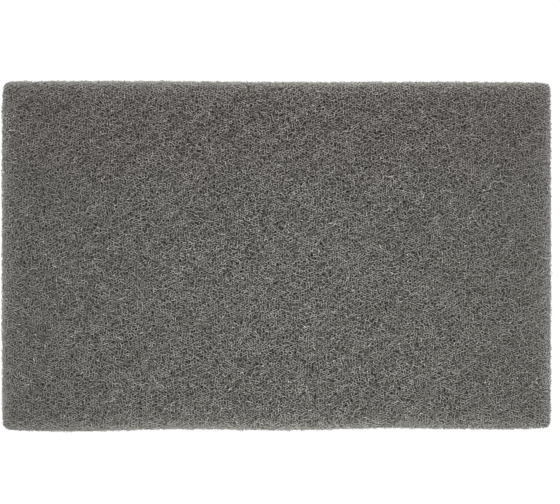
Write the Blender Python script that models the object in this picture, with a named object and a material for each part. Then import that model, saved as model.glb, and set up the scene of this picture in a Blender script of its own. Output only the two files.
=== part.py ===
"""Non-woven abrasive hand pad: one rectangular block of crimped, resin-bonded, grit-coated fibre.

The pad lies flat. Its origin is the centre of its flat underside, +X runs along its length,
+Y across its width and +Z up through its thickness. All sizes are in metres.
"""

import math

import bmesh
import bpy
from mathutils import Vector, noise

# The block, as it was cut from the roll. The guillotine ran slightly out of parallel,
# so the left end is a little wider than the right one.
PAD_LENGTH = 0.230
LEFT_END_WIDTH = 0.1466
RIGHT_END_WIDTH = 0.1448
PAD_THICKNESS = 0.008

# The springy web draws its corners back, which leaves each end bowed outwards by this much.
END_BOW = 0.0004

# Corners of the outline, seen from above. The two at the left end are the rounder ones.
LEFT_CORNER_RADIUS = 0.0025
RIGHT_CORNER_RADIUS = 0.0017

# Edges of the section. The blade drags the upper edge down more than the lower one.
UPPER_EDGE_ROUND = 0.0024
LOWER_EDGE_ROUND = 0.0014

# Swells and hollows where the web was laid thicker or thinner, and the wander of the cut edge.
SWELL_HEIGHT = 0.0003
SWELL_PITCH = 0.013
EDGE_WANDER = 0.0003

# How finely the surface is divided. A point every SURFACE_STEP carries the swells.
SURFACE_STEP = 0.0046
CORNER_STEPS = 5
ROUND_STEPS = 4
WALL_STEPS = 2

# A ring set in by more than its corner radius keeps this share of the radius.
LEAST_CORNER_SHARE = 0.3

# A cut of the top face that passes this near a point goes through the point.
CUT_SNAP = 1e-5

PAD_GREY = (0.137, 0.132, 0.122, 1.0)
PAD_ROUGHNESS = 0.85
SMOOTH_ANGLE = math.radians(40)

# Directions from the block's middle to its corners, anticlockwise from the back right.
CORNER_SIDES = ((1, 1), (-1, 1), (-1, -1), (1, -1))


def clear_scene():
    """Remove whatever the scene holds."""
    for thing in list(bpy.data.objects):
        bpy.data.objects.remove(thing, do_unlink=True)


def grid_lines(half_side):
    """Places of the lines across the block that carry the swells, the same on every ring."""
    rim = max(LEFT_CORNER_RADIUS, RIGHT_CORNER_RADIUS) + max(UPPER_EDGE_ROUND, LOWER_EDGE_ROUND)
    reach = half_side - rim
    count = math.ceil(2 * reach / SURFACE_STEP)
    return [reach * (2 * line / count - 1) for line in range(count + 1)]


def corner_arc(side_x, side_y, inset):
    """One corner of a ring, as points on a quarter circle, anticlockwise."""
    full_radius = RIGHT_CORNER_RADIUS if side_x > 0 else LEFT_CORNER_RADIUS
    radius = max(full_radius - inset, LEAST_CORNER_SHARE * full_radius)
    centre_x = side_x * (PAD_LENGTH / 2 - inset - radius)
    centre_y = side_y * (LEFT_END_WIDTH / 2 - inset - radius)
    start_angle = math.atan2(side_y, side_x) - math.pi / 4
    points = []
    for step in range(CORNER_STEPS + 1):
        angle = start_angle + math.pi / 2 * step / CORNER_STEPS
        points.append((centre_x + radius * math.cos(angle), centre_y + radius * math.sin(angle)))
    return points


def add_ring(mesh, inset, height):
    """One closed loop of edges round the block, set in from its outline, at one height."""
    half_length = PAD_LENGTH / 2 - inset
    half_width = LEFT_END_WIDTH / 2 - inset
    along = grid_lines(PAD_LENGTH / 2)
    across = grid_lines(LEFT_END_WIDTH / 2)
    sides = (
        [(x, half_width) for x in reversed(along)],
        [(-half_length, y) for y in reversed(across)],
        [(x, -half_width) for x in along],
        [(half_length, y) for y in across],
    )
    outline = []
    for (side_x, side_y), side in zip(CORNER_SIDES, sides, strict=True):
        outline += corner_arc(side_x, side_y, inset)
        outline += side
    points = [mesh.verts.new((x, y, height)) for x, y in outline]
    return [mesh.edges.new((points[i - 1], points[i])) for i in range(len(points))]


def section_profile():
    """The section's edge, from the underside up to the top, as (inset, height) pairs."""
    profile = []
    for step in range(ROUND_STEPS + 1):
        turn = math.pi / 2 * step / ROUND_STEPS
        inset = LOWER_EDGE_ROUND * (1 - math.sin(turn))
        profile.append((inset, LOWER_EDGE_ROUND * (1 - math.cos(turn))))
    wall_top = PAD_THICKNESS - UPPER_EDGE_ROUND
    wall_height = wall_top - LOWER_EDGE_ROUND
    for step in range(1, WALL_STEPS):
        profile.append((0.0, LOWER_EDGE_ROUND + wall_height * step / WALL_STEPS))
    for step in range(ROUND_STEPS + 1):
        turn = math.pi / 2 * step / ROUND_STEPS
        inset = UPPER_EDGE_ROUND * (1 - math.cos(turn))
        profile.append((inset, wall_top + UPPER_EDGE_ROUND * math.sin(turn)))
    return profile


def fill(mesh, ring):
    """One flat face across a ring."""
    return bmesh.ops.edgeloop_fill(mesh, edges=ring)["faces"][0]


def divide_top(mesh, top):
    """Cut the top face along the grid lines, so that it can carry the swells."""
    parts = [top, *top.edges, *top.verts]
    for normal, half_side in ((Vector((1, 0, 0)), PAD_LENGTH / 2), (Vector((0, 1, 0)), LEFT_END_WIDTH / 2)):
        for place in grid_lines(half_side):
            cut = bmesh.ops.bisect_plane(
                mesh, geom=parts, plane_co=normal * place, plane_no=normal, dist=CUT_SNAP
            )
            parts = cut["geom"]


def cut_out_of_parallel(point):
    """Narrow the block evenly from its left end to its right end, and draw its corners back."""
    share = point.x / PAD_LENGTH + 0.5
    width = LEFT_END_WIDTH + (RIGHT_END_WIDTH - LEFT_END_WIDTH) * share
    end_share = 2 * point.x / PAD_LENGTH
    side_share = 2 * point.y / LEFT_END_WIDTH
    point.x -= END_BOW * side_share**2 * end_share**3
    point.y *= width / LEFT_END_WIDTH


def add_swells(point):
    """Move a point with the uneven loft of the web. The underside stays flat."""
    sway = noise.noise_vector(point / SWELL_PITCH)
    lift = point.z / PAD_THICKNESS
    point.x += EDGE_WANDER * sway.x
    point.y += EDGE_WANDER * sway.y
    point.z += SWELL_HEIGHT * sway.z * lift


def centre_on_origin(mesh):
    """Put the middle of the block's outline over the origin."""
    for axis in (0, 1):
        places = [vert.co[axis] for vert in mesh.verts]
        middle = (min(places) + max(places)) / 2
        for vert in mesh.verts:
            vert.co[axis] -= middle


def pad_material():
    """Matt grey of fine grit in resin."""
    material = bpy.data.materials.new("grit_coated_web")
    material.use_nodes = True
    shader = material.node_tree.nodes["Principled BSDF"]
    shader.inputs["Base Color"].default_value = PAD_GREY
    shader.inputs["Roughness"].default_value = PAD_ROUGHNESS
    shader.inputs["Metallic"].default_value = 0.0
    return material


def build_pad():
    """The whole pad: rings bridged up its edge, closed below and above."""
    mesh = bmesh.new()
    rings = [add_ring(mesh, inset, height) for inset, height in section_profile()]
    for lower, upper in zip(rings, rings[1:], strict=False):
        bmesh.ops.bridge_loops(mesh, edges=lower + upper)
    fill(mesh, rings[0])
    divide_top(mesh, fill(mesh, rings[-1]))
    for vert in mesh.verts:
        cut_out_of_parallel(vert.co)
        add_swells(vert.co)
    centre_on_origin(mesh)
    bmesh.ops.recalc_face_normals(mesh, faces=mesh.faces)
    data = bpy.data.meshes.new("abrasive_pad")
    mesh.to_mesh(data)
    mesh.free()
    data.shade_smooth()
    data.set_sharp_from_angle(angle=SMOOTH_ANGLE)
    data.materials.append(pad_material())
    bpy.context.scene.collection.objects.link(bpy.data.objects.new("abrasive_pad", data))


clear_scene()
build_pad()
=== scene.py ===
"""Looks of a grey non-woven abrasive hand pad, seen from straight above on white.

The pad is one springy web of crimped nylon fibres, bonded with resin and loaded with fine grit.
Metres, +Z up, with the origin at the middle of the pad's underside, as in the frame.
"""

import math

import bpy
import numpy as np
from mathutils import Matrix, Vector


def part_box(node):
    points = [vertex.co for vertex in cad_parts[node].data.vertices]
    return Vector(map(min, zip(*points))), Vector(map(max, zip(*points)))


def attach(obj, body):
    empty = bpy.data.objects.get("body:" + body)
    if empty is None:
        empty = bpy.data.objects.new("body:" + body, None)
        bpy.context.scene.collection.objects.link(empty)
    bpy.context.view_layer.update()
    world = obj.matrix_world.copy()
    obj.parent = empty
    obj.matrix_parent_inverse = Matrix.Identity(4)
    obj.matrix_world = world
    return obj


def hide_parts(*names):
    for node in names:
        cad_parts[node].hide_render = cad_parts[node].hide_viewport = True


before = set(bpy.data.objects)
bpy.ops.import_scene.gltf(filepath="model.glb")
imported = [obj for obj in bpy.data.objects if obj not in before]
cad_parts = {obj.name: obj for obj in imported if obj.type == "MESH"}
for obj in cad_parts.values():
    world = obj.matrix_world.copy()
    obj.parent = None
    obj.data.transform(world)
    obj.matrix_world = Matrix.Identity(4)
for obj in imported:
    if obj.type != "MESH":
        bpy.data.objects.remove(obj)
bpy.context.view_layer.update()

# Inner web. The middle of the pad is the same fibre as its faces, matted with resin and grit, and
# little light gets in. It is made as one dark body with the pad's own outer shape, set back under the
# loose fibres of the faces, and it is seen only down in their pores. Its dark colour is painted shade
# for the shadowed fibre down there.
MM = 0.001

# The soft swells of the web's loft: sine waves of several lengths.
SWELL = 0.25 * MM
WAVE_LENGTHS = (9 * MM, 13 * MM, 17 * MM, 26 * MM, 38 * MM)
WAVE_GAIN = 1.4

# The block as it was cut, wider at its left end, with rounded edges.
low_corner, high_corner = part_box("abrasive_pad")
LEFT_FLARE = 0.25 * MM
NARROWING = 1.8 * MM
PAD_LENGTH = high_corner[0] - low_corner[0]
LEFT_WIDTH = high_corner[1] - low_corner[1] + LEFT_FLARE
RIGHT_WIDTH = LEFT_WIDTH - NARROWING
THICKNESS = high_corner[2] - SWELL
EDGE_ROUND = 2.4 * MM
LOWER_ROUND = 1.4 * MM
WALL = THICKNESS - EDGE_ROUND - LOWER_ROUND
FLAT_X = PAD_LENGTH / 2 - EDGE_ROUND
FLAT_Y = LEFT_WIDTH / 2 - EDGE_ROUND

# How far its ends bow out, how far it lies askew, and the share of its length where it isn't.
END_BOW = 0.1 * MM
SKEW = 0.25 * MM
SKEW_FROM = 0.25

# How far its long edges wander, the place along them where they stand out most, and over what length.
BACK_WANDER = (0.12 * MM, 72 * MM, 20.7 * MM)
FRONT_WANDER = (0.35 * MM, 4 * MM, 14 * MM)

# How far the web draws its corners in, and how far from a corner that reaches.
LEFT_CORNER_PULL = 1.3 * MM
RIGHT_CORNER_PULL = 0.58 * MM
CORNER_REACH = 2.6 * MM

# How deep the core lies under the upper (1) and lower (-1) face, and under the rim.
CORE_DEPTH = {1: 0.95 * MM, -1: 0.4 * MM}
CORE_EDGE_DEPTH = 0.8 * MM
CORE_STEP = 3 * MM
RING_STEPS = 7
FIRST_RING = 0.15

# How much the painted shade in the core's pores is lifted on the lower face and at the ends, and its
# strands' spacing.
UNDER_FILL_LIGHT = 0.25
END_FILL_LIGHT = 0.18
NET_PITCH = 0.95 * MM

# Where the resin begins to be warmer, over what length it grows so, and how far the rim reaches in.
WARM_FROM = 12 * MM
WARM_RUN = 42 * MM
WARM_PATCHES = 0.2
RIM_REACH = 2.6 * MM


def waves(x, y, seed):
    """A soft random surface between about -1 and 1: the mean of sine waves of the listed lengths,
    each running its own way, times WAVE_GAIN."""
    draw = np.random.default_rng(seed)
    total = np.zeros(np.shape(x))
    for length in WAVE_LENGTHS:
        way, phase = draw.uniform(0, 2 * math.pi, 2)
        along = x * math.cos(way) + y * math.sin(way)
        total = total + np.sin(2 * math.pi * along / length + phase)
    return total * WAVE_GAIN / len(WAVE_LENGTHS)


def past_flat(x, y):
    """How far places on the sheet lie past its flat part: along x, along y, and the larger of both."""
    over_x = np.maximum(np.abs(x) - FLAT_X, 0)
    over_y = np.maximum(np.abs(y) - FLAT_Y, 0)
    return over_x, over_y, np.maximum(over_x, over_y)


def rim_share(x, y):
    """How near places on the sheet are to the cut rim: 1 where the wall starts, and less by e times
    for every RIM_REACH inwards, as seen from above, or two of them down the wall."""
    over = past_flat(x, y)[2]
    inside = np.minimum(FLAT_X - np.abs(x), FLAT_Y - np.abs(y))
    bend = np.minimum(over / EDGE_ROUND, math.pi / 2)
    inwards = np.where(over > 0, EDGE_ROUND * (1 - np.sin(bend)), EDGE_ROUND + inside)
    return np.exp(-(inwards + (over - EDGE_ROUND * bend) / 2) / RIM_REACH)


def end_share(x):
    """How near places are to the pad's two ends: the square of their share of its half length."""
    return np.minimum((2 * x / PAD_LENGTH) ** 2, 1)


def warm_share(x, y, rim):
    """How warm the resin's grey is: 0 in front, rising evenly to 1 at the back, shifted by slow waves,
    and 0 at the cut rim, where the resin has rubbed off."""
    return np.clip((y - WARM_FROM) / WARM_RUN + WARM_PATCHES * waves(x, y, 31), 0, 1) * (1 - rim)


def pad_skin(x, y, side, depth=0.0):
    """The point of the pad at a depth under its skin, and the way out of the skin there.

    x and y are places on a sheet laid flat on the pad's upper (side 1) or lower (side -1) face.
    Past the flat part the sheet bends round the edge on a quarter circle, follows the wall, bends
    round the other edge and runs back, so that distance along the sheet is kept. At the corners it
    fans out round a quarter circle.
    """
    first_round, last_round = (EDGE_ROUND, LOWER_ROUND) if side > 0 else (LOWER_ROUND, EDGE_ROUND)
    over_x, over_y, over = past_flat(x, y)
    turn = math.pi / 4 * np.minimum(over_x, over_y) / np.maximum(over, 1e-9)
    turn = np.where(over_x >= over_y, turn, math.pi / 2 - turn)
    out_x = np.cos(turn) * np.sign(x)
    out_y = np.sin(turn) * np.sign(y)
    run = EDGE_ROUND - first_round
    first_bend = np.clip((over - run) / first_round, 0, math.pi / 2)
    left = np.maximum(over - run - first_round * math.pi / 2, 0)
    down = np.minimum(left, WALL)
    last_bend = np.clip((left - WALL) / last_round, 0, math.pi / 2)
    run_back = np.maximum(left - WALL - last_round * math.pi / 2, 0)
    bend = first_bend + last_bend
    reach = np.minimum(over, run) + first_round * np.sin(first_bend) - depth * np.sin(bend)
    reach = reach - last_round * (1 - np.cos(last_bend)) - run_back
    drop = first_round * (1 - np.cos(first_bend)) + down + last_round * np.sin(last_bend)
    px = np.clip(x, -FLAT_X, FLAT_X) + out_x * reach
    py = np.clip(y, -FLAT_Y, FLAT_Y) + out_y * reach
    pz = THICKNESS / 2 + side * (THICKNESS / 2 - drop - depth * np.cos(bend))
    # The pad as it was cut: corners drawn in, narrower and a little askew to the right, ends bowed,
    # edges wandering.
    from_corner = PAD_LENGTH / 2 - np.abs(px) + LEFT_WIDTH / 2 - np.abs(py)
    pull = np.where(px < 0, LEFT_CORNER_PULL, RIGHT_CORNER_PULL) * np.exp(-from_corner / CORNER_REACH)
    px = px - pull * np.sign(px)
    py = py - pull * np.sign(py)
    share = px / PAD_LENGTH + 0.5
    narrowing = 1 + (RIGHT_WIDTH / LEFT_WIDTH - 1) * share
    bow = END_BOW * (2 * py / LEFT_WIDTH) ** 2 * (2 * px / PAD_LENGTH) ** 3
    back, front = [
        far * np.cos((px - place) / length) for far, place, length in (BACK_WANDER, FRONT_WANDER)
    ]
    py = py + np.where(py > 0, back, -front) * (2 * py / LEFT_WIDTH) ** 4
    loft = SWELL * waves(px, py, 1) * pz / THICKNESS
    skin = np.stack([px - bow, py * narrowing + SKEW * (share - SKEW_FROM), pz + loft], -1)
    out = np.stack([out_x * np.sin(bend), out_y * np.sin(bend), side * np.cos(bend)], -1)
    return skin, out


def sheet_edge(side, height):
    """How far past its flat part the sheet over one face ends, if it follows the wall to a height."""
    bend_round = EDGE_ROUND if side > 0 else LOWER_ROUND
    wall_start = THICKNESS - bend_round if side > 0 else bend_round
    return EDGE_ROUND - bend_round + bend_round * math.pi / 2 + abs(wall_start - height)


def mesh_object(name, points, faces, smooth=True):
    """A new mesh object at the origin, from an array of points and a list of faces."""
    mesh = bpy.data.meshes.new(name)
    mesh.from_pydata(points.tolist(), [], faces)
    mesh.update()
    if smooth:
        mesh.shade_smooth()
    thing = bpy.data.objects.new(name, mesh)
    bpy.context.scene.collection.objects.link(thing)
    return thing


def point_values(thing, name, values):
    """Keep one number for each point of a mesh under a name that materials can read."""
    thing.data.attributes.new(name, "FLOAT", "POINT").data.foreach_set("value", np.ravel(values))


def linear(hex_colour):
    """Linear RGBA of an sRGB hex colour: ((c + 0.055) / 1.055) to the power 2.4 for each channel,
    or c / 12.92 where c is very dark."""
    channels = [int(hex_colour[i : i + 2], 16) / 255 for i in (1, 3, 5)]
    lit = [c / 12.92 if c <= 0.04045 else ((c + 0.055) / 1.055) ** 2.4 for c in channels]
    return (*lit, 1.0)


def node(tree, kind, inputs=None, **settings):
    """Add a node. Settings go on the node. An input takes a plain value, or is linked to a socket."""
    made = tree.nodes.new(kind)
    for name, value in settings.items():
        setattr(made, name, value)
    for name, value in (inputs or {}).items():
        if isinstance(value, bpy.types.NodeSocket):
            tree.links.new(value, made.inputs[name])
        else:
            made.inputs[name].default_value = value
    return made


def new_finish(name):
    """A material under a name, and its empty node tree."""
    material = bpy.data.materials.new(name)
    material.use_nodes = True
    material.node_tree.nodes.clear()
    return material, material.node_tree


def warmed(tree, colour):
    """A colour, with less green and blue where the resin is warm."""
    warmth = node(tree, "ShaderNodeAttribute", attribute_name="warmth").outputs["Fac"]
    mixed = node(
        tree,
        "ShaderNodeMix",
        {"Factor": warmth, "A": colour, "B": (1.0, 0.947, 0.969, 1.0)},
        data_type="RGBA",
        blend_type="MULTIPLY",
    )
    return mixed.outputs[2]


def shaded_web():
    """The shadowed web down in the pores: matt, with two nets of strands over dark pits at the spacing of
    the fibres above, their darkness painted shade. Where more light is painted in, strands and pits are
    paler, painted light that lifts that shade."""
    material, tree = new_finish("shaded_inner_web")
    place = node(tree, "ShaderNodeTexCoord").outputs["Object"]
    warp = node(tree, "ShaderNodeTexNoise", {"Vector": place, "Scale": 1 / (1.6 * MM), "Detail": 1.0})
    bent = node(
        tree,
        "ShaderNodeMix",
        {"Factor": 0.0012, "A": place, "B": warp.outputs["Color"]},
        data_type="VECTOR",
    )
    nets = []
    for pitch in (NET_PITCH, 1.4 * NET_PITCH):
        strands = node(
            tree,
            "ShaderNodeTexVoronoi",
            {"Vector": bent.outputs[1], "Scale": 1 / pitch},
            feature="DISTANCE_TO_EDGE",
        )
        nets.append(
            node(
                tree,
                "ShaderNodeMapRange",
                {"Value": strands.outputs["Distance"], "From Min": 0.03, "From Max": 0.13},
            )
        )
    pit = node(tree, "ShaderNodeMath", {0: nets[0].outputs[0], 1: nets[1].outputs[0]}, operation="MULTIPLY")
    fill_light = node(tree, "ShaderNodeAttribute", attribute_name="fill_light").outputs["Fac"]
    # Colours of strands and pits in painted shade, and lifted by painted light.
    strand_colour, pit_colour = [
        node(
            tree,
            "ShaderNodeMix",
            {"Factor": fill_light, "A": linear(in_shade), "B": linear(lifted)},
            data_type="RGBA",
        )
        for in_shade, lifted in (("#6a6862", "#a8a79d"), ("#110f0d", "#7b7a71"))
    ]
    colour = node(
        tree,
        "ShaderNodeMix",
        {"Factor": pit.outputs[0], "A": strand_colour.outputs[2], "B": pit_colour.outputs[2]},
        data_type="RGBA",
    )
    bump = node(
        tree,
        "ShaderNodeBump",
        {"Height": pit.outputs[0], "Distance": 0.3 * MM},
        invert=True,
    )
    shader = node(
        tree,
        "ShaderNodeBsdfPrincipled",
        {
            "Base Color": warmed(tree, colour.outputs[2]),
            "Roughness": 0.9,
            "Specular IOR Level": 0.2,
            "Normal": bump.outputs[0],
        },
    )
    node(tree, "ShaderNodeOutputMaterial", {"Surface": shader.outputs[0]})
    return material


def core_mesh():
    """Two sheets of squares, over and under, that share their rim half way down the wall. Also how much
    the painted shade in the pores is lifted at each point: most at the rim, as painted light from the
    side, some at the ends and more on the lower face; and how warm it is there."""
    middle = THICKNESS / 2
    columns = round(2 * FLAT_X / CORE_STEP)
    rows = round(2 * FLAT_Y / CORE_STEP)
    sheets = []
    fill_lights = []
    warmths = []
    for side in (1, -1):
        ring = sheet_edge(side, middle) * np.linspace(FIRST_RING, 1, RING_STEPS)
        x = np.concatenate([-FLAT_X - ring[::-1], np.linspace(-FLAT_X, FLAT_X, columns), FLAT_X + ring])
        y = np.concatenate([-FLAT_Y - ring[::-1], np.linspace(-FLAT_Y, FLAT_Y, rows), FLAT_Y + ring])
        x, y = np.meshgrid(x, y, indexing="ij")
        rim = rim_share(x, y)
        skin, _ = pad_skin(x, y, side, CORE_DEPTH[side] + (CORE_EDGE_DEPTH - CORE_DEPTH[side]) * rim)
        sheets.append(skin)
        # Painted light: the pores' painted shade is lifted most at the rim, where light comes in from the
        # side, some at the ends and more on the lower face.
        least = END_FILL_LIGHT * end_share(x) if side > 0 else UNDER_FILL_LIGHT
        fill_lights.append(least + (1 - least) * rim)
        warmths.append(warm_share(x, y, rim))
    wide, high = sheets[0].shape[:2]
    upper = np.arange(wide * high).reshape(wide, high)
    inside = np.zeros((wide, high), bool)
    inside[1:-1, 1:-1] = True
    lower = upper.copy()
    lower[inside] = wide * high + np.arange(inside.sum())
    points = np.concatenate([sheets[0].reshape(-1, 3), sheets[1][inside]])
    faces = []
    for grid, step in ((upper, 1), (lower, -1)):
        corners = [grid[:-1, :-1], grid[1:, :-1], grid[1:, 1:], grid[:-1, 1:]]
        faces.append(np.stack(corners[::step], -1).reshape(-1, 4))
    fill_light, warmth = [np.concatenate([above.ravel(), below[inside]]) for above, below in (fill_lights, warmths)]
    return points, np.concatenate(faces).tolist(), fill_light, warmth


core_points, core_faces, core_fill_light, core_warmth = core_mesh()
core = mesh_object("inner_web", core_points, core_faces)
point_values(core, "fill_light", core_fill_light)
point_values(core, "warmth", core_warmth)
core.data.materials.append(shaded_web())
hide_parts("abrasive_pad")
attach(core, "root")

# Face net. Nylon staple about 0.2 mm thick, crimped in a stuffer box and sprayed with resin that
# carries silicon carbide grit, which thickens it to about 0.3 mm. The fibres of the upper face wind
# round one another in a net with pores about 1 mm wide, and the resin bonds them where they meet.
FIBRE_RADIUS = 0.14 * MM
FIBRE_SIDES = 3
TIP_SIZE = 0.75

# The honeycomb that the fibres follow: its cells, how loose and how stretched they are, how many
# fibres follow each side of a cell, and how many sides a fibre follows each way.
NET_SIZE = 1024
CELL = 1.15 * MM
COVER = 1.2
LOOSE = 0.175
DRAWN = 1.1
PRESS = 0.8
ASIDE = 0.06
NET_REACH = 3
ROUNDS = 80
CURLINESS = 0.35
TURN_BACK = 0.4 * MM

# Depth: how the whole fibre and each point of it sways, how far its tips sink, and how much more it
# sways and how far it may stand out at the rim.
FIBRE_SWAY = 0.1
POINT_SWAY = 0.7
END_SINK = 0.2 * MM
RIM_RAGGED = 1.6
PROUD = 0.45 * MM

# Shade: at the top, how fast it falls with depth as painted shade, how much painted light raises it at
# the rim, how much it drops at the ends, how much calmer it is at both, and how much it varies by
# patches, fibres and grains.
TOP_SHADE = 0.81
SHADE_PER_DEPTH = 0.6 / MM
RIM_PAINTED_LIGHT = 0.28
RIM_CALM = 0.75
END_DROP = 0.11
END_CALM = 0.55
PATCHES = 0.02
FIBRE_SHADES = 0.02
GRAIN = 0.15

# Clots of grit, pale and partly a painted glint: what share of a fibre's points has one, how thick it is
# and how much paler.
SPECKS = 0.007
SPECK_SIZE = 1.8
SPECK_GLINT = 0.5

# The map for the fibres' colour: where it starts, how much it spans and how far points are set apart.
MAP_START = 0.01
MAP_SPAN = 0.96
MAP_WIDTH = 0.004


def face_sheet(side):
    """Half the length and half the width of the sheet over one face and the round of its edge."""
    edge = sheet_edge(side, THICKNESS - EDGE_ROUND if side > 0 else LOWER_ROUND)
    return FLAT_X + edge, FLAT_Y + edge


def fold_back(place, half):
    """Places turned back softly where they pass the sheet's rim: a hyperbola beside its two legs."""
    rim = half - TURN_BACK
    return np.sign(place) * (rim - np.hypot(rim - np.abs(place), TURN_BACK))


def lattice_place(cell, column, row, kind):
    """Where a corner of an even honeycomb lies. Its two kinds have a side to their left or right. The
    web is drawn lengthways while it is laid, so the cells are DRAWN times as long and as narrow."""
    along = cell * (math.sqrt(0.75) * row + math.sqrt(1 / 12) * kind)
    across = cell * (column + row / 2 + kind / 2)
    return DRAWN * along, across / DRAWN


def corner_place(cell, shifts, column, row, kind):
    """Where a corner of the loose honeycomb lies: its even place, moved by a chance of its own."""
    moved = shifts[column % NET_SIZE, row % NET_SIZE, kind].T
    return np.stack(lattice_place(cell, column, row, kind)) + moved


def net_paths(draw, cover, cell, half_x, half_y):
    """Places along fibres that wind between the pores of a loose honeycomb.

    cover is how many fibres follow each side of a cell, on average. A cell has three sides of its
    own and covers cell * cell * sqrt(3/4), and a fibre follows NET_REACH sides each way.
    The fibres come in rounds. Each starts at one of the barest corners and goes from corner to corner,
    first one way and then the other. It takes the side on which fewer fibres lie, or else a chance
    one: it zigzags on, or it curls round the cell. Slow waves press and stretch the net.
    """
    count = round(6 * half_x * half_y * cover / (cell * cell * math.sqrt(0.75) * NET_REACH))
    batch = count // ROUNDS
    shifts = draw.normal(0, LOOSE * cell, (NET_SIZE, NET_SIZE, 2, 2))
    laid = np.zeros((NET_SIZE, NET_SIZE, 3), int)
    span = np.arange(-NET_SIZE // 2, NET_SIZE // 2)
    columns, rows = np.meshgrid(span, span)
    x, y = lattice_place(cell, columns, rows, 0)
    inside = (np.abs(x) < half_x) & (np.abs(y) < half_y)
    columns, rows = columns[inside], rows[inside]
    paths = []
    for _ in range(ROUNDS):
        crowd = laid[columns % NET_SIZE, rows % NET_SIZE].sum(-1) + draw.uniform(0, 1, len(columns))
        starts = np.argsort(crowd)[:batch]
        places = np.empty((2, batch, 2 * NET_REACH + 1))
        taken = draw.integers(0, 3, batch)
        for direction in (-1, 1):
            column, row, kind = columns[starts], rows[starts], np.zeros(batch, int)
            places[:, :, NET_REACH] = corner_place(cell, shifts, column, row, kind)
            before, way = (taken + draw.integers(1, 3, batch)) % 3, taken
            for step in range(1, NET_REACH + 1):
                on, curl = [
                    ((column + kind * (side == 1)) % NET_SIZE, (row + kind * (side == 2)) % NET_SIZE, side)
                    for side in (before, 3 - before - way)
                ]
                curls = laid[curl] + draw.uniform(0, 1, batch) < laid[on] + CURLINESS
                before, way = way, np.where(curls, 3 - before - way, before)
                np.add.at(laid, tuple(np.where(curls, a, b) for a, b in zip(curl, on)), 1)
                taken = way if step == 1 else taken
                column = column + (2 * kind - 1) * (way == 1)
                row = row + (2 * kind - 1) * (way == 2)
                kind = 1 - kind
                places[:, :, NET_REACH + direction * step] = corner_place(cell, shifts, column, row, kind)
        paths.append(places)
    x, y = np.concatenate(paths, 1)
    aside = draw.normal(0, ASIDE * cell, (2, len(x), 1))
    x = x + aside[0] + PRESS * cell * waves(x, y, 21)
    y = y + aside[1] + PRESS * cell * waves(x, y, 22)
    return fold_back(x, half_x), fold_back(y, half_y)


def fibre_tubes(path, out, radius):
    """Closed tubes with three sides round each path. One side of the tube faces out of the pad."""
    count, steps = radius.shape
    tangent = np.gradient(path, axis=1)
    tangent /= np.maximum(np.linalg.norm(tangent, axis=-1, keepdims=True), 1e-9)
    across = np.cross(tangent, out)
    across /= np.maximum(np.linalg.norm(across, axis=-1, keepdims=True), 1e-9)
    upright = np.cross(across, tangent)
    angle = 2 * math.pi * (np.arange(FIBRE_SIDES) + 0.5) / FIBRE_SIDES
    spokes = upright[:, :, None] * np.cos(angle)[:, None] + across[:, :, None] * np.sin(angle)[:, None]
    points = path[:, :, None] + spokes * radius[:, :, None, None]
    index = np.arange(count * steps * FIBRE_SIDES).reshape(count, steps, FIBRE_SIDES)
    here, there = index[:, :-1], index[:, 1:]
    walls = np.stack([here, np.roll(here, -1, 2), np.roll(there, -1, 2), there], -1)
    caps = np.concatenate([index[:, 0, ::-1], index[:, -1]])
    return points.reshape(-1, 3), walls.reshape(-1, 4).tolist() + caps.tolist()


def shade_map(thing, shade, warmth):
    """A map for the fibre's colour. Across it runs the shade, down it the warmth, so that each place
    on it has one colour. The points round a fibre are set a little apart, and so are its steps."""
    round_it = MAP_WIDTH * np.arange(FIBRE_SIDES)
    odd_step = MAP_WIDTH * (np.arange(shade.shape[1]) % 2)[:, None]
    across = MAP_START + MAP_SPAN * shade + round_it
    down = MAP_START + MAP_SPAN * warmth + round_it + odd_step
    places = np.stack([across, down], -1).reshape(-1, 2)
    corner_points = np.empty(len(thing.data.loops), np.int32)
    thing.data.loops.foreach_get("vertex_index", corner_points)
    layer = thing.data.uv_layers.new(name="OFBake")
    layer.uv.foreach_set("vector", places[corner_points].ravel())


def chance_sizes(draw, spread, least, most, shape):
    """Sizes that vary about 1 by a spread, none below the least or above the most."""
    return np.clip(draw.normal(1, spread, shape), least, most)


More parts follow.
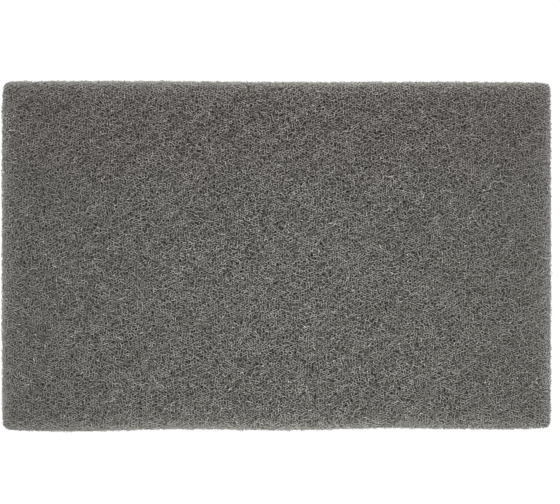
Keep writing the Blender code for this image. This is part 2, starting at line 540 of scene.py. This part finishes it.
def lay_fibres(name, draw, x, y, side, depth, weave, material):
    """Fibres along paths on the sheet over a face, as one mesh object.

    Each fibre sways in depth by about weave, and its two ends sink into the pad. Its shade falls with
    depth, a painted shade for the light that the fibres above keep off, and it rises at the cut rim, a
    painted light for the light that reaches the rim from the side. Grains of grit, some 0.05 mm wide,
    are too fine to show. So the shade varies from point to point instead, and here and there a clot of
    grit sits round the fibre as a pale speck, partly a painted glint on the grit.
    """
    count, steps = x.shape
    along = np.linspace(-1, 1, steps)
    rim = rim_share(x, y)
    calm = 1 - RIM_CALM * rim - END_CALM * end_share(x) * (1 - rim)
    specks = draw.uniform(0, 1, (count, steps)) < SPECKS
    sway = FIBRE_SWAY * draw.normal(0, 1, (count, 1)) + POINT_SWAY * draw.normal(0, 1, (count, steps))
    deep = depth + weave * (1 + RIM_RAGGED * rim) * sway
    deep = np.maximum(deep + END_SINK * along**6, -PROUD * rim)
    path, out = pad_skin(x, y, side, deep)
    size = FIBRE_RADIUS * chance_sizes(draw, 0.1, 0.6, 1.6, (count, 1))
    radius = size * chance_sizes(draw, 0.16, 0.7, 1.5, (count, steps))
    radius = radius * np.where(specks, SPECK_SIZE, 1)
    radius[:, [0, -1]] *= TIP_SIZE
    thing = mesh_object(name, *fibre_tubes(path, out, radius))
    # Painted shade: the shade falls with depth, for the light that the fibres above keep off.
    shade = TOP_SHADE - SHADE_PER_DEPTH * np.maximum(deep, 0) * calm + PATCHES * waves(x, y, 32)
    # Painted light: the shade rises at the cut rim, where light reaches the fibres from the side.
    shade = shade + draw.normal(0, FIBRE_SHADES, (count, 1)) + RIM_PAINTED_LIGHT * rim - END_DROP * end_share(x)
    grain = GRAIN * calm[:, :, None] * draw.normal(0, 1, (count, steps, FIBRE_SIDES))
    # Painted glint: a speck of grit is made paler, as if it caught the light.
    shade = np.clip(shade[:, :, None] + grain + SPECK_GLINT * specks[:, :, None], 0, 1)
    warmth = np.broadcast_to(warm_share(x, y, rim)[:, :, None], shade.shape)
    point_values(thing, "shade", shade)
    point_values(thing, "warmth", warmth)
    shade_map(thing, shade, warmth)
    thing.data.materials.append(material)
    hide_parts("abrasive_pad")
    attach(thing, "root")


def coated_fibre(name, dark, middle, pale):
    """Nylon fibre in grey resin with fine grit, a little glossy on top and duller lower down. Its colour
    runs from pale at the top of the web to dark lower down: painted shade for the light that the fibres
    above keep off."""
    material, tree = new_finish(name)
    shade = node(tree, "ShaderNodeAttribute", attribute_name="shade").outputs["Fac"]
    lower = node(tree, "ShaderNodeMapRange", {"Value": shade, "From Max": 0.5})
    upper = node(tree, "ShaderNodeMapRange", {"Value": shade, "From Min": 0.5})
    in_shade = node(
        tree,
        "ShaderNodeMix",
        {"Factor": lower.outputs[0], "A": linear(dark), "B": linear(middle)},
        data_type="RGBA",
    )
    colour = node(
        tree,
        "ShaderNodeMix",
        {"Factor": upper.outputs[0], "A": in_shade.outputs[2], "B": linear(pale)},
        data_type="RGBA",
    )
    rough = node(tree, "ShaderNodeMapRange", {"Value": shade, "To Min": 0.8, "To Max": 0.45})
    shader = node(
        tree,
        "ShaderNodeBsdfPrincipled",
        {
            "Base Color": warmed(tree, colour.outputs[2]),
            "Roughness": rough.outputs[0],
            "Specular IOR Level": 0.5,
        },
    )
    node(tree, "ShaderNodeOutputMaterial", {"Surface": shader.outputs[0]})
    return material


# The dark end of each palette is painted shade for the deepest fibres.
fibre_finish = coated_fibre("grit_coated_fibre", "#292623", "#7a7972", "#dad8d3")
draw = np.random.default_rng(11)
x, y = net_paths(draw, COVER, CELL, *face_sheet(1))
net_parts = ("face_net_a", "face_net_b", "face_net_c", "face_net_d")
for turn, name in enumerate(net_parts):
    part = slice(turn, None, len(net_parts))
    lay_fibres(name, draw, x[part], y[part], 1, 0.25 * MM, 0.18 * MM, fibre_finish)

# Strands. Longer crimped lengths of the same fibre. A few stand a little out of the upper net and
# cross over it. The lower face, which the pad lies on, is pressed flat and shows many of them.
STRAND_STEPS = 15
STRAND_STEP = 0.95 * MM

# How fast a strand drifts round, in radians a metre, and its crimps: their length and their swing.
DRIFT = 90
CRIMPS = ((9 * MM, 0.85), (5.2 * MM, 0.6))


def crimped_paths(draw, count, half_x, half_y):
    """Places along each fibre on a flat sheet. The heading is a slow drift plus two sine swings,
    and a place is the sum of the steps before it. A fibre that meets the sheet's rim turns back."""
    along = np.arange(STRAND_STEPS) * STRAND_STEP
    heading = draw.uniform(0, 2 * math.pi, (count, 1)) + draw.normal(0, DRIFT, (count, 1)) * along
    for length, swing in CRIMPS:
        crimp = length * draw.uniform(0.75, 1.3, (count, 1))
        phase = draw.uniform(0, 2 * math.pi, (count, 1))
        heading = heading + swing * np.sin(2 * math.pi * along / crimp + phase)
    places = []
    for half, direction in ((half_x, np.cos(heading)), (half_y, np.sin(heading))):
        walk = np.cumsum(STRAND_STEP * direction, 1)
        walk = walk - walk.mean(1, keepdims=True) + draw.uniform(-half, half, (count, 1))
        places.append(fold_back(walk, half))
    return places


def strands(name, seed, side, spread, depth, weave):
    """Crimped strands over one face. spread is how many mm of them lie on each square mm."""
    draw = np.random.default_rng(seed)
    half_x, half_y = face_sheet(side)
    count = round(4 * half_x * half_y * spread / MM / ((STRAND_STEPS - 1) * STRAND_STEP))
    x, y = crimped_paths(draw, count, half_x, half_y)
    lay_fibres(name, draw, x, y, side, depth, weave, fibre_finish)


strands("face_strands", 16, 1, 0.02, 0.2 * MM, 0.15 * MM)
strands("under_strands", 18, -1, 0.42, 0.15 * MM, 0.15 * MM)

# Edge net. The blade cut the fibres and dragged them over the edge, so that a net of their ends and
# loops covers the wall from the upper round to the foot. Grit has rubbed off it, which leaves its grey
# a little greener, and like all fibres near the rim it is made paler by painted light. Some loops
# stand out of it.
EDGE_COVER = 1.15
EDGE_CELL = 1.25 * MM
EDGE_START = -0.5 * MM
EDGE_DEPTH = 0.35 * MM
EDGE_SINK = 0.2
CORNER_LENGTH = 2.4 * MM


def round_the_edge(s, t):
    """Places on the upper sheet, from the distance s round the pad and t past the flat part.
    A side is FLAT_X or FLAT_Y long each way; a corner takes CORNER_LENGTH of s and turns a quarter."""
    sides = np.array([2 * FLAT_X, 2 * FLAT_Y, 2 * FLAT_X, 2 * FLAT_Y])
    starts = np.concatenate([[0], np.cumsum(sides + CORNER_LENGTH)])
    s = np.mod(s, starts[-1])
    leg = np.searchsorted(starts, s, side="right") - 1
    run = s - starts[leg]
    length = sides[leg]
    turned = np.clip((run - length) / CORNER_LENGTH, 0, 1)
    ahead = np.minimum(run, length) - length / 2 + t * np.clip(2 * turned, 0, 1)
    aside = np.where(leg % 2 == 0, FLAT_Y, FLAT_X) + t * np.clip(2 - 2 * turned, 0, 1)
    way_x = np.array([1, 0, -1, 0])[leg]
    way_y = np.array([0, 1, 0, -1])[leg]
    return ahead * way_x + aside * way_y, ahead * way_y - aside * way_x


draw = np.random.default_rng(17)
around = 4 * (FLAT_X + FLAT_Y) + 4 * CORNER_LENGTH
half_band = (sheet_edge(1, LOWER_ROUND) + LOWER_ROUND * math.pi / 2 - EDGE_START) / 2
s, t = net_paths(draw, EDGE_COVER, EDGE_CELL, around / 2, half_band)
t = t + EDGE_START + half_band
x, y = round_the_edge(s, t)
sunk = EDGE_DEPTH + EDGE_SINK * np.maximum(EDGE_ROUND * math.pi / 2 - t, 0)
worn_finish = coated_fibre("worn_edge_fibre", "#292622", "#7a7970", "#dadacd")
lay_fibres("edge_net", draw, x, y, 1, sunk, 0.15 * MM, worn_finish)

# Studio. A white table under a white dome, one soft box overhead and a larger one far behind it, with
# the camera straight above.
CAMERA_LENS = 100.0
SENSOR = 36.0
PHOTO_WIDTH = 560
PIXEL = 0.4195 * MM
VIEW_WIDTH = PHOTO_WIDTH * PIXEL
AIM = (1.50 * MM, 1.57 * MM, 5 * MM)
FLOOR = -0.25 * MM
TABLE_REACH = 3.0
TABLE_WHITE = 0.85
DOME = 0.30
WHITE = (1.0, 1.0, 1.0, 1.0)

# Each lamp's size, power, place and tilt.
LAMPS = {
    "soft_box": (0.12, 0.281, (0.015, -0.05, 0.23), 0.0),
    "back_box": (0.5, 7.2, (0.0, 1.0, 0.7), -math.atan2(1.0, 0.7)),
}


def seen_plainly(tree):
    """1 for light that goes to the camera straight, by gloss or through glass, otherwise 0."""
    path = node(tree, "ShaderNodeLightPath")
    seen = path.outputs["Is Camera Ray"]
    for way in ("Is Glossy Ray", "Is Transmission Ray"):
        seen = node(tree, "ShaderNodeMath", {0: seen, 1: path.outputs[way]}, operation="MAXIMUM").outputs[0]
    return seen


corners = TABLE_REACH * np.array([(-1, -1, 0), (1, -1, 0), (1, 1, 0), (-1, 1, 0)]) + [0, 0, FLOOR]
floor = mesh_object("table_top", corners, [(0, 1, 2, 3)], smooth=False)
table_finish, tree = new_finish("white_laminate")
bright = node(tree, "ShaderNodeMath", {0: seen_plainly(tree), 1: 0.85}, operation="MULTIPLY")
matt = node(tree, "ShaderNodeBsdfDiffuse", {"Color": (TABLE_WHITE, TABLE_WHITE, TABLE_WHITE, 1.0)})
white = node(tree, "ShaderNodeEmission", {"Color": WHITE, "Strength": 1.12})
mixed = node(tree, "ShaderNodeMixShader", {0: bright.outputs[0], 1: matt.outputs[0], 2: white.outputs[0]})
node(tree, "ShaderNodeOutputMaterial", {"Surface": mixed.outputs[0]})
floor.data.materials.append(table_finish)

world = bpy.data.worlds.new("white_studio")
world.use_nodes = True
tree = world.node_tree
strength = node(
    tree,
    "ShaderNodeMath",
    {0: seen_plainly(tree), 1: 1.0 - DOME, 2: DOME},
    operation="MULTIPLY_ADD",
)
dome = tree.nodes["Background"]
dome.inputs["Color"].default_value = WHITE
tree.links.new(strength.outputs[0], dome.inputs["Strength"])
bpy.context.scene.world = world

for name, (size, energy, place, tilt) in LAMPS.items():
    lamp = bpy.data.lights.new(name, "AREA")
    lamp.size = size
    lamp.energy = energy
    box = bpy.data.objects.new(name, lamp)
    box.location = place
    box.rotation_euler = (tilt, 0, 0)
    box.visible_camera = False
    bpy.context.scene.collection.objects.link(box)

camera_data = bpy.data.cameras.new("camera")
camera_data.lens = CAMERA_LENS
camera_data.sensor_width = SENSOR
camera_data.clip_start = 0.01
camera = bpy.data.objects.new("camera", camera_data)
camera.location = (AIM[0], AIM[1], AIM[2] + VIEW_WIDTH * CAMERA_LENS / SENSOR)
bpy.context.scene.collection.objects.link(camera)
bpy.context.scene.camera = camera

bpy.context.scene.view_settings.view_transform = "Standard"
